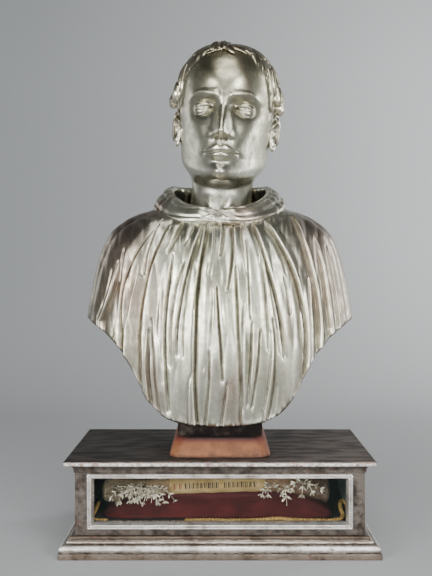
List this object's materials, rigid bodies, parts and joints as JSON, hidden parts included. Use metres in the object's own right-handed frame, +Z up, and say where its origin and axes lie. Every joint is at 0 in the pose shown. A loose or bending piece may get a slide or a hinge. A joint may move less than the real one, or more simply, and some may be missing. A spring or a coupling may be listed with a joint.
{
  "type": "reliquary bust",
  "caption": "Silvered bust of a man in a pleated cloak, on a glazed moulded case that holds a bone relic on a velvet cushion.",
  "frame": {"origin": "middle of the plinth's underside, on the surface that the case stands on", "axes": "+Z up, -Y towards the glazed front and the face, +X to the right as seen from the front"},
  "size_m": [0.4746, 0.244, 0.7895],
  "materials": {
    "silver_leaf": "burnished silver leaf over carved wood",
    "worn_silver": "dulled silver leaf over moulded wood",
    "bright_silver": "bright silver leaf over a wooden bead",
    "tarnished_silver": "blackened silver leaf over wood",
    "bole": "bare red-brown bole over wood",
    "dark_wood": "dark wood with remains of silver",
    "glass": "clear",
    "lining_paper": "matt green-grey paper",
    "velvet": "dark red velvet",
    "gold_cord": "twisted gold thread",
    "bone": "dry aged bone",
    "label_paper": "aged paper with ink strokes",
    "silver_foil": "silvered foil leaves"
  },
  "bodies": {
    "root": {"bust": "silver_leaf", "foot": "bole", "block": "dark_wood", "lid": "tarnished_silver", "cove_front": "worn_silver", "cove_right": "worn_silver", "cove_back": "worn_silver", "cove_left": "worn_silver", "case_floor": "tarnished_silver", "case_back": "tarnished_silver", "case_side_left": "worn_silver", "case_side_right": "worn_silver", "front_stile_left": "worn_silver", "front_stile_right": "worn_silver", "front_rail_top": "worn_silver", "front_rail_bottom": "worn_silver", "base_plinth": "worn_silver", "bead_top": "bright_silver", "bead_bottom": "bright_silver", "bead_left": "bright_silver", "bead_right": "bright_silver", "glass_pane": "glass", "lining_left": "lining_paper", "lining_right": "lining_paper", "lining_back": "lining_paper", "cushion": "velvet", "cushion_cord_front": "gold_cord", "cushion_cord_left": "gold_cord", "relic_bone": "bone", "relic_label": "label_paper", "sprig_left_1": "silver_foil", "sprig_left_2": "silver_foil", "sprig_left_3": "silver_foil", "sprig_right_1": "silver_foil", "sprig_right_2": "silver_foil", "sprig_right_3": "silver_foil"}
  },
  "joints": []
}
